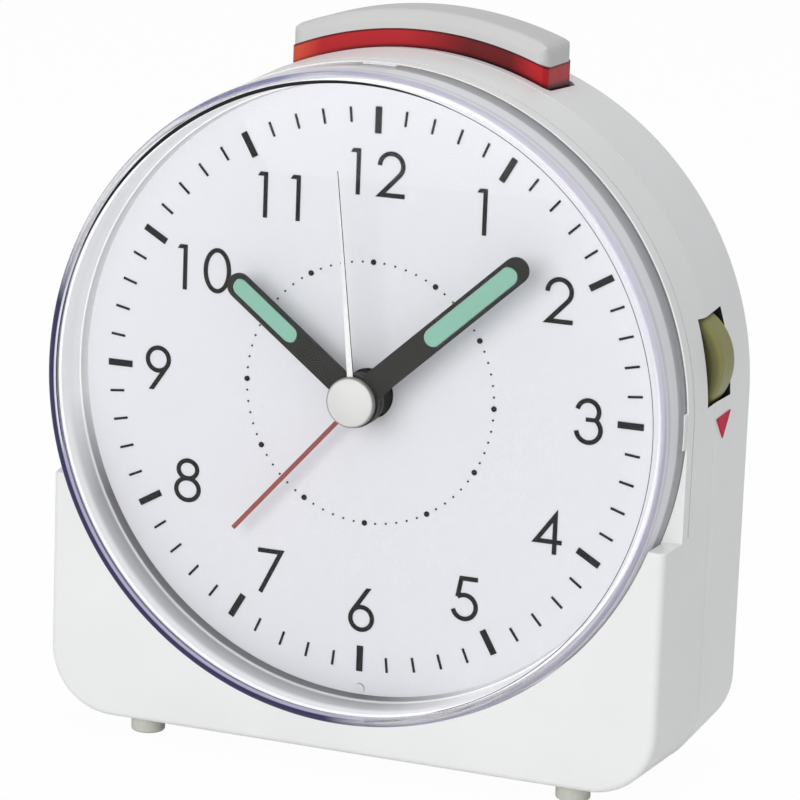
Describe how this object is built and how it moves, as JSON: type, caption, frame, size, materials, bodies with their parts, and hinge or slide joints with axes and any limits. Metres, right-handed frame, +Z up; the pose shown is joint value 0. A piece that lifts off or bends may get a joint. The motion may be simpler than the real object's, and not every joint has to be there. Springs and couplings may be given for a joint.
{
  "type": "analogue alarm clock",
  "caption": "Small round-faced analogue alarm clock on a square-footed plastic case, with hands under a clear lens, a snooze bar on top, a side thumb wheel and a rear battery door.",
  "frame": {"origin": "centre of the footprint's bounding box, on the plane that the four feet stand on", "axes": "+X to the right of a person who reads the dial, +Y from the dial to the rear wall, +Z up"},
  "size_m": [0.0893, 0.038, 0.0991],
  "materials": {
    "white_shell": "satin white moulded plastic",
    "clear_lens": "clear moulded lens",
    "silver_ring": "silver coated plastic",
    "dial_white": "matt white dial",
    "print_black": "black print",
    "foot_rubber": "light grey rubber",
    "plain_steel": "plated steel",
    "mark_red": "red mark",
    "skirt_red": "red translucent plastic",
    "olive_plastic": "olive moulded plastic",
    "hand_dark": "dark grey painted metal",
    "lume_green": "pale green luminous bar",
    "second_silver": "silver metal",
    "cap_silver": "satin silver metal",
    "alarm_red": "red painted metal",
    "gear_dark": "black moulded plastic",
    "gear_pale": "pale moulded plastic",
    "magnet_dark": "dark sintered magnet material",
    "copper_wire": "copper coloured winding",
    "movement_plastic": "grey moulded plastic",
    "board_green": "green circuit board",
    "black_plastic": "black plastic",
    "battery_shell": "plain metal cell",
    "key_grey": "grey moulded plastic"
  },
  "bodies": {
    "case": {"front_housing": "white_shell", "rear_housing": "white_shell", "lens": "clear_lens", "foot_front_left": "foot_rubber", "foot_front_right": "foot_rubber", "foot_rear_left": "foot_rubber", "foot_rear_right": "foot_rubber", "battery": "battery_shell", "reflector_ring": "silver_ring", "dial_plate": "dial_white", "dial_marks": "print_black", "direction_mark": "mark_red", "case_screws": "plain_steel", "snooze_spring_left": "plain_steel", "snooze_spring_right": "plain_steel", "snooze_switch": "black_plastic", "contact_positive": "plain_steel", "contact_negative": "plain_steel", "button_switches": "black_plastic", "buzzer": "black_plastic", "circuit_board": "board_green", "controller_chip": "black_plastic", "quartz_crystal": "plain_steel", "ferrite_rod": "magnet_dark", "antenna_coil": "copper_wire", "thumb_wheel_axle": "plain_steel", "minute_stator": "plain_steel", "minute_coil": "copper_wire", "second_stator": "plain_steel", "second_coil": "copper_wire", "movement_front_case": "movement_plastic", "movement_rear_case": "movement_plastic"},
    "minute_assembly": {"minute_wheel": "gear_pale", "minute_hand": "hand_dark", "minute_lume": "lume_green"},
    "hour_assembly": {"hour_wheel": "gear_pale", "hour_hand": "hand_dark", "hour_lume": "lume_green"},
    "second_assembly": {"second_wheel": "gear_pale", "second_hand": "second_silver", "centre_cap": "cap_silver"},
    "alarm_assembly": {"alarm_wheel": "gear_dark", "alarm_hand": "alarm_red"},
    "motion_arbor": {"motion_wheel": "gear_pale"},
    "minute_reduction": {"minute_reduction_wheel": "gear_pale"},
    "minute_motor_rotor": {"minute_rotor": "magnet_dark"},
    "second_reduction": {"second_reduction_wheel": "gear_pale"},
    "second_motor_rotor": {"second_rotor": "magnet_dark"},
    "alarm_knob": {"alarm_thumb_wheel": "olive_plastic"},
    "alarm_idler_gear": {"alarm_idler": "gear_pale"},
    "snooze_bar": {"snooze_button": "white_shell", "snooze_skirt": "skirt_red"},
    "door": {"battery_door": "white_shell"},
    "set_key": {"set_button": "key_grey"},
    "receive_key": {"receive_button": "key_grey"},
    "reset_key": {"reset_button": "key_grey"},
    "alarm_slider": {"alarm_switch": "key_grey"}
  },
  "joints": [
    {"name": "minute_hand_turn", "type": "hinge", "parent": "case", "child": "minute_assembly", "pos_m": [0, 0, 0.0503], "axis": [0, 1, 0], "continuous": true},
    {"name": "hour_hand_turn", "type": "hinge", "parent": "case", "child": "hour_assembly", "pos_m": [0, 0, 0.0503], "axis": [0, 1, 0], "continuous": true},
    {"name": "second_hand_turn", "type": "hinge", "parent": "case", "child": "second_assembly", "pos_m": [0, 0, 0.0503], "axis": [0, 1, 0], "continuous": true},
    {"name": "alarm_wheel_turn", "type": "hinge", "parent": "case", "child": "alarm_knob", "pos_m": [0.0371, 0, 0.0568], "axis": [0, 1, 0], "continuous": true},
    {"name": "alarm_hand_turn", "type": "hinge", "parent": "case", "child": "alarm_assembly", "pos_m": [0, 0, 0.0503], "axis": [0, 1, 0], "continuous": true},
    {"name": "alarm_idler_turn", "type": "hinge", "parent": "case", "child": "alarm_idler_gear", "pos_m": [0.02344, 0, 0.05193], "axis": [0, 1, 0], "continuous": true},
    {"name": "motion_wheel_turn", "type": "hinge", "parent": "case", "child": "motion_arbor", "pos_m": [-0.006, 0, 0.0503], "axis": [0, 1, 0], "continuous": true},
    {"name": "minute_reduction_turn", "type": "hinge", "parent": "case", "child": "minute_reduction", "pos_m": [0.00438, 0, 0.04272], "axis": [0, 1, 0], "continuous": true},
    {"name": "minute_rotor_turn", "type": "hinge", "parent": "case", "child": "minute_motor_rotor", "pos_m": [0.01114, 0, 0.04091], "axis": [0, 1, 0], "continuous": true},
    {"name": "second_reduction_turn", "type": "hinge", "parent": "case", "child": "second_reduction", "pos_m": [-0.00438, 0, 0.05788], "axis": [0, 1, 0], "continuous": true},
    {"name": "second_rotor_turn", "type": "hinge", "parent": "case", "child": "second_motor_rotor", "pos_m": [-0.01017, 0, 0.05943], "axis": [0, 1, 0], "continuous": true},
    {"name": "snooze_press", "type": "slide", "parent": "case", "child": "snooze_bar", "axis": [0, 0, -1], "range_m": [0, 0.0015], "stiffness_N_per_m": 1000, "springref_m": -0.0005, "deforming": ["snooze_spring_left", "snooze_spring_right"]},
    {"name": "battery_door_swing", "type": "hinge", "parent": "case", "child": "door", "pos_m": [0, 0.0181, 0.0072], "axis": [-1, 0, 0], "range_deg": [0, 85]},
    {"name": "set_press", "type": "slide", "parent": "case", "child": "set_key", "axis": [0, -1, 0], "range_m": [0, 0.0008], "stiffness_N_per_m": 500, "springref_m": -0.0004},
    {"name": "receive_press", "type": "slide", "parent": "case", "child": "receive_key", "axis": [0, -1, 0], "range_m": [0, 0.0008], "stiffness_N_per_m": 500, "springref_m": -0.0004},
    {"name": "reset_press", "type": "slide", "parent": "case", "child": "reset_key", "axis": [0, -1, 0], "range_m": [0, 0.0008], "stiffness_N_per_m": 500, "springref_m": -0.0004},
    {"name": "alarm_switch_slide", "type": "slide", "parent": "case", "child": "alarm_slider", "axis": [1, 0, 0], "range_m": [0, 0.004]}
  ],
  "couplings": [
    {"joint": "motion_wheel_turn", "follows": "minute_hand_turn", "ratio": -0.33333},
    {"joint": "hour_hand_turn", "follows": "minute_hand_turn", "ratio": 0.083333},
    {"joint": "minute_reduction_turn", "follows": "minute_hand_turn", "ratio": -6},
    {"joint": "minute_rotor_turn", "follows": "minute_hand_turn", "ratio": 36},
    {"joint": "second_reduction_turn", "follows": "second_hand_turn", "ratio": -6},
    {"joint": "second_rotor_turn", "follows": "second_hand_turn", "ratio": 30},
    {"joint": "alarm_idler_turn", "follows": "alarm_wheel_turn", "ratio": -0.26087},
    {"joint": "alarm_hand_turn", "follows": "alarm_wheel_turn", "ratio": 0.25}
  ]
}
